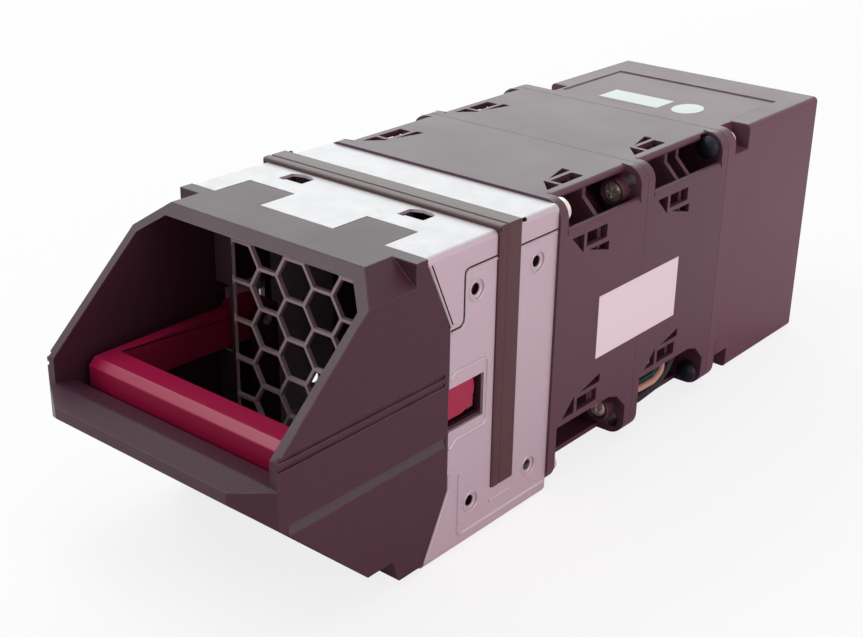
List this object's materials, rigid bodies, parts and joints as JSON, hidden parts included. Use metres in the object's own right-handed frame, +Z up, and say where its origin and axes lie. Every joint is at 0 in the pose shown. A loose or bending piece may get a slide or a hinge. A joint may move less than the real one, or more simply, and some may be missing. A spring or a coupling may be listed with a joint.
{
  "type": "server fan module",
  "caption": "Long square-section server fan module: axial fans in line, rear housing, steel sleeve and a hooded front with a lift-up pull handle.",
  "frame": {"origin": "centre of the footprint, on the surface that the module lies on", "axes": "+Z up, +X across, +Y from the front hood towards the rear connector"},
  "size_m": [0.0812, 0.25, 0.083],
  "materials": {
    "hood_plastic": "fine spark texture",
    "grille_plastic": "fine texture",
    "sleeve_steel": "galvanised sheet, satin",
    "gasket_fabric": "conductive fabric over foam",
    "handle_plastic": "satin moulded",
    "pin_steel": "ground",
    "frame_plastic": "moulded glass-filled",
    "housing_plastic": "moulded glass-filled",
    "connector_plastic": "moulded",
    "contact_metal": "gold flash",
    "screw_steel": "zinc plated",
    "plug_rubber": "soft moulded",
    "lead_jacket": "cream sleeving",
    "label_paper": "blank label film",
    "tube_brass": "turned",
    "board_laminate": "laminate",
    "shaft_steel": "ground",
    "magnet_ferrite": "bonded ferrite",
    "bearing_steel": "polished",
    "core_steel": "laminated",
    "coil_copper": "enamelled copper",
    "cup_steel": "deep drawn",
    "impeller_plastic": "moulded"
  },
  "bodies": {
    "chassis": {"front_hood": "hood_plastic", "honeycomb_grille": "grille_plastic", "sleeve_top_cover": "sleeve_steel", "sleeve_lower_channel": "sleeve_steel", "emi_gasket": "gasket_fabric", "handle_pins": "pin_steel", "fan_a_frame": "frame_plastic", "fan_b_frame": "frame_plastic", "rear_housing": "housing_plastic", "connector_shell": "connector_plastic", "connector_contacts": "contact_metal", "sleeve_screws": "screw_steel", "fan_joining_screws": "screw_steel", "housing_screws": "screw_steel", "rubber_plugs": "plug_rubber", "motor_leads": "lead_jacket", "side_label": "label_paper", "fan_a_bearing_tube": "tube_brass", "fan_a_circuit_board": "board_laminate", "fan_a_ball_bearings": "bearing_steel", "fan_a_stator_core": "core_steel", "fan_a_coils": "coil_copper", "fan_b_bearing_tube": "tube_brass", "fan_b_circuit_board": "board_laminate", "fan_b_ball_bearings": "bearing_steel", "fan_b_stator_core": "core_steel", "fan_b_coils": "coil_copper"},
    "handle": {"pull_handle": "handle_plastic"},
    "rotor_a": {"fan_a_impeller": "impeller_plastic", "fan_a_rotor_cup": "cup_steel", "fan_a_magnet_ring": "magnet_ferrite", "fan_a_shaft": "shaft_steel", "fan_a_shaft_clip": "shaft_steel"},
    "rotor_b": {"fan_b_impeller": "impeller_plastic", "fan_b_rotor_cup": "cup_steel", "fan_b_magnet_ring": "magnet_ferrite", "fan_b_shaft": "shaft_steel", "fan_b_shaft_clip": "shaft_steel"}
  },
  "joints": [
    {"name": "handle_lift", "type": "hinge", "parent": "chassis", "child": "handle", "pos_m": [0, -0.05725, 0.0424], "axis": [-1, 0, 0], "range_deg": [0, 22]},
    {"name": "fan_a_spin", "type": "hinge", "parent": "chassis", "child": "rotor_a", "pos_m": [0, -0.00155, 0.0424], "axis": [0, 1, 0], "continuous": true},
    {"name": "fan_b_spin", "type": "hinge", "parent": "chassis", "child": "rotor_b", "pos_m": [0, 0.03845, 0.0424], "axis": [0, -1, 0], "continuous": true}
  ]
}
